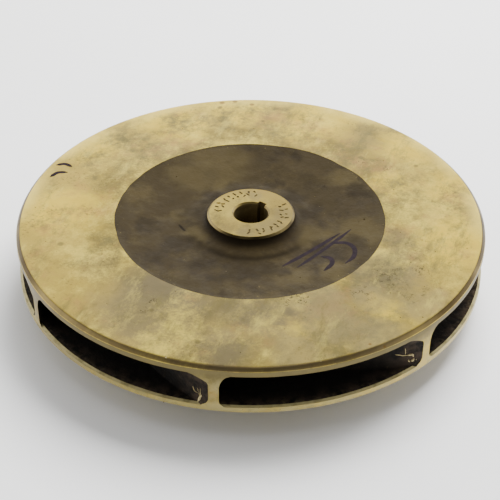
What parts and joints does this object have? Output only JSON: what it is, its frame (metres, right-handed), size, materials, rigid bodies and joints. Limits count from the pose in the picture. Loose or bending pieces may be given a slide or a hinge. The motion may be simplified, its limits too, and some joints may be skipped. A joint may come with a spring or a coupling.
{
  "type": "closed centrifugal pump impeller",
  "caption": "Closed centrifugal pump impeller with backward-curved vanes, keyed hub bore and suction neck; throws liquid from the eye out through its rim",
  "frame": {"origin": "on the shaft axis, in the plane of the suction neck's lower face", "axes": "+Z along the shaft axis from the suction side to the keyed hub, +Y towards the keyway"},
  "size_m": [0.343, 0.343, 0.0613],
  "materials": {
    "machined_bronze": "turned, dulled by handling and age",
    "cast_bronze": "as cast, dark brown"
  },
  "bodies": {
    "root": {"hub": "machined_bronze", "back_shroud": "machined_bronze", "front_shroud": "machined_bronze", "suction_neck": "machined_bronze", "vane_1": "cast_bronze", "vane_2": "cast_bronze", "vane_3": "cast_bronze", "vane_4": "cast_bronze", "vane_5": "cast_bronze", "vane_6": "cast_bronze", "vane_7": "cast_bronze"}
  },
  "joints": []
}
